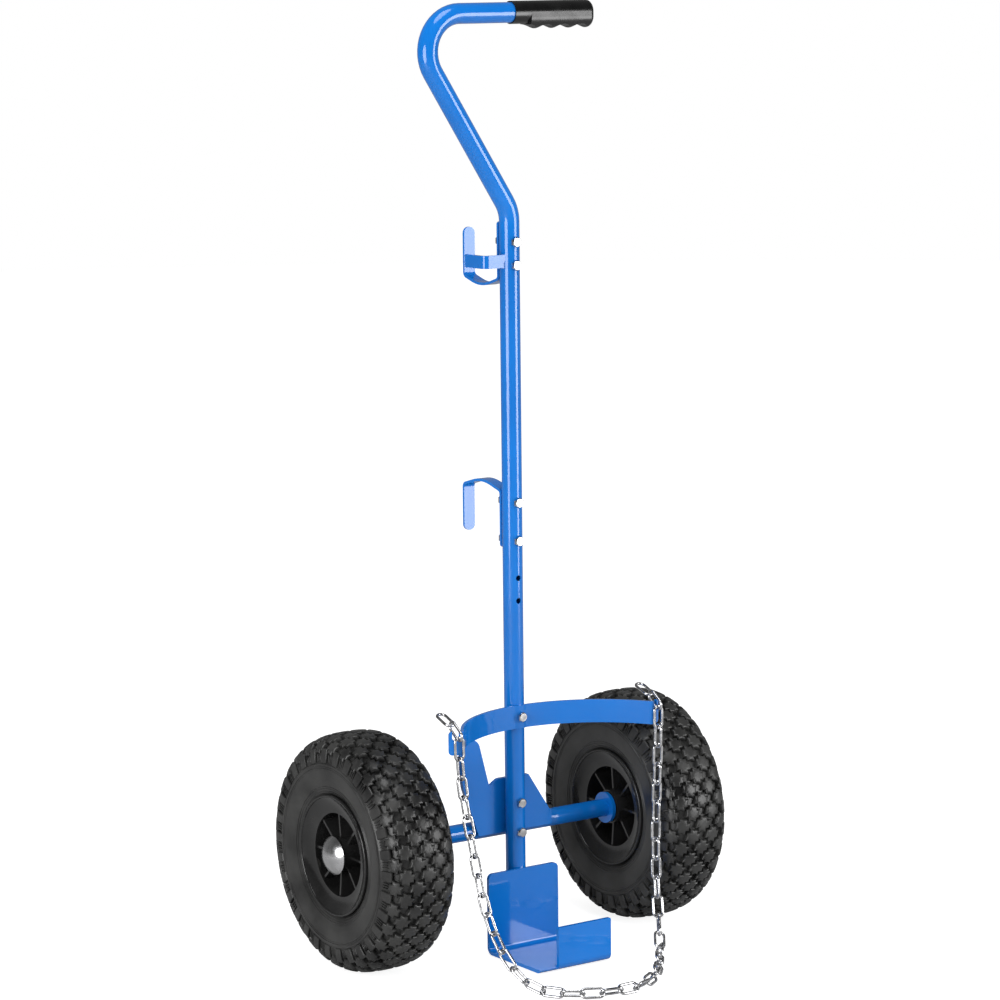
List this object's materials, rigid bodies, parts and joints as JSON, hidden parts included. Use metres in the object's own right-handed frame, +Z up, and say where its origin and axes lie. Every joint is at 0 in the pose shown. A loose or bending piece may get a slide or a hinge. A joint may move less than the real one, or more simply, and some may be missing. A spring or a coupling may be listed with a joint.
{
  "type": "gas cylinder trolley",
  "caption": "Two-wheeled trolley for one gas cylinder: tube pole with bent handle, hose hooks, curved band with securing chain, sheet foot and axle with pneumatic wheels.",
  "frame": {"origin": "middle of the foot's flat underside, on the floor", "axes": "+Z up along the pole, +X to the right seen from the front along the axle, -Y to the front where the cylinder stands"},
  "size_m": [0.4598, 0.3862, 1.0344],
  "materials": {
    "blue_paint": "gloss",
    "grip_rubber": "satin",
    "tyre_rubber": "matte",
    "rim_plastic": "satin",
    "bright_zinc": "bright",
    "cap_chrome": "polished",
    "valve_brass": "satin",
    "plain_steel": "satin"
  },
  "bodies": {
    "frame": {"handle_tube": "blue_paint", "handle_grip": "grip_rubber", "lower_pole": "blue_paint", "splice_sleeve": "plain_steel", "upper_hook": "blue_paint", "lower_hook": "blue_paint", "lance_clip": "blue_paint", "cradle_arm_left": "blue_paint", "cradle_saddle": "blue_paint", "cradle_arm_right": "blue_paint", "foot_plate": "blue_paint", "axle_bracket": "blue_paint", "axle_tube": "blue_paint", "axle_collar_right": "blue_paint", "axle_collar_left": "blue_paint", "axle_rod": "plain_steel", "upper_hook_bolts": "bright_zinc", "upper_hook_nuts": "bright_zinc", "splice_bolts": "bright_zinc", "splice_nuts": "bright_zinc", "band_bolt": "bright_zinc", "band_nut": "bright_zinc", "bracket_bolt_upper": "bright_zinc", "bracket_bolt_lower": "bright_zinc", "bracket_nuts": "bright_zinc", "chain_slot_links": "bright_zinc", "chain_stop_links": "bright_zinc", "hub_washer_inner_right": "bright_zinc", "hub_washer_outer_right": "bright_zinc", "hub_cap_right": "cap_chrome", "hub_washer_inner_left": "bright_zinc", "hub_washer_outer_left": "bright_zinc", "hub_cap_left": "cap_chrome"},
    "right_wheel": {"tyre_right": "tyre_rubber", "inner_tube_right": "tyre_rubber", "valve_right": "valve_brass", "rim_outer_right": "rim_plastic", "rim_inner_right": "rim_plastic", "rim_bolts_right": "bright_zinc", "rim_nuts_right": "bright_zinc", "hub_bush_outer_right": "rim_plastic", "hub_bush_inner_right": "rim_plastic"},
    "left_wheel": {"tyre_left": "tyre_rubber", "inner_tube_left": "tyre_rubber", "valve_left": "valve_brass", "rim_outer_left": "rim_plastic", "rim_inner_left": "rim_plastic", "rim_bolts_left": "bright_zinc", "rim_nuts_left": "bright_zinc", "hub_bush_outer_left": "rim_plastic", "hub_bush_inner_left": "rim_plastic"},
    "chain": {"chain_left_drop": "bright_zinc", "chain_floor_run": "bright_zinc", "chain_right_drop": "bright_zinc"}
  },
  "joints": [
    {"name": "right_wheel_spin", "type": "hinge", "parent": "frame", "child": "right_wheel", "pos_m": [0.182, 0.088, 0.13], "axis": [1, 0, 0], "continuous": true},
    {"name": "left_wheel_spin", "type": "hinge", "parent": "frame", "child": "left_wheel", "pos_m": [-0.182, 0.088, 0.13], "axis": [1, 0, 0], "continuous": true},
    {"name": "chain_swing", "type": "hinge", "parent": "frame", "child": "chain", "pos_m": [0, -0.02481, 0.26875], "axis": [-1, 0, 0], "range_deg": [0, 80]}
  ]
}
